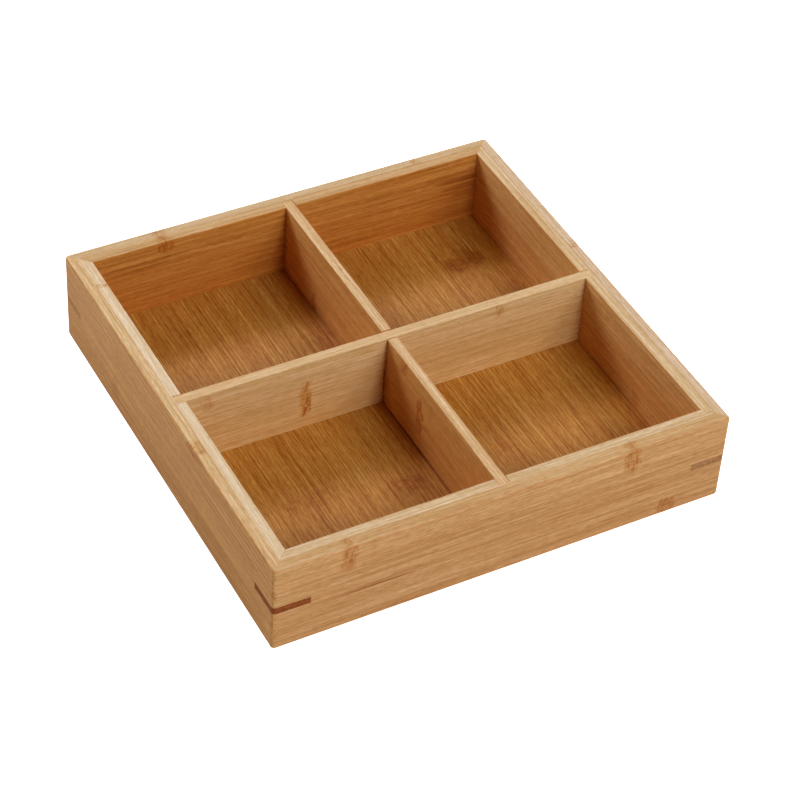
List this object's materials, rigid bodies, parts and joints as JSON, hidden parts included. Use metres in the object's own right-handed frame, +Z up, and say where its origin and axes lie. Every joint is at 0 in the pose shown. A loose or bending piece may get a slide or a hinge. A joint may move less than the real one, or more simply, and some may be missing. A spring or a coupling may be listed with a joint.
{
  "type": "compartment tray",
  "caption": "Square bamboo tray with mitred two-ply walls, keyed corners, a grooved-in bottom panel and halved dividers that lift out of open-topped housings.",
  "frame": {"origin": "middle of the footprint, on the surface that the tray stands on", "axes": "+Z up from the table, +X along the front wall to the right, +Y from the front wall to the back"},
  "size_m": [0.24, 0.24, 0.051],
  "materials": {
    "bamboo_outer_ply": "planed bamboo strips along the wall, thin satin clear coat",
    "bamboo_inner_ply": "paler planed bamboo strips along the wall, thin satin clear coat",
    "bamboo_divider": "planed bamboo strips along the board, thin satin clear coat",
    "bamboo_panel": "darker narrow-strip bamboo, streaks from front to back, satin clear coat",
    "key_wood": "dark reddish-brown wood, planed flush, satin clear coat"
  },
  "bodies": {
    "tray": {"front_wall_outer_ply": "bamboo_outer_ply", "front_wall_inner_ply": "bamboo_inner_ply", "right_wall_outer_ply": "bamboo_outer_ply", "right_wall_inner_ply": "bamboo_inner_ply", "back_wall_outer_ply": "bamboo_outer_ply", "back_wall_inner_ply": "bamboo_inner_ply", "left_wall_outer_ply": "bamboo_outer_ply", "left_wall_inner_ply": "bamboo_inner_ply", "front_left_corner_key": "key_wood", "front_right_corner_key": "key_wood", "back_right_corner_key": "key_wood", "back_left_corner_key": "key_wood", "bottom_panel": "bamboo_panel"},
    "front_back_divider": {"front_back_divider": "bamboo_divider"},
    "left_right_divider": {"left_right_divider": "bamboo_divider"}
  },
  "joints": [
    {"name": "front_back_divider_lift", "type": "slide", "parent": "tray", "child": "front_back_divider", "axis": [0, 0, 1], "range_m": [0, 0.06]},
    {"name": "left_right_divider_lift", "type": "slide", "parent": "front_back_divider", "child": "left_right_divider", "axis": [0, 0, 1], "range_m": [0, 0.06]}
  ]
}
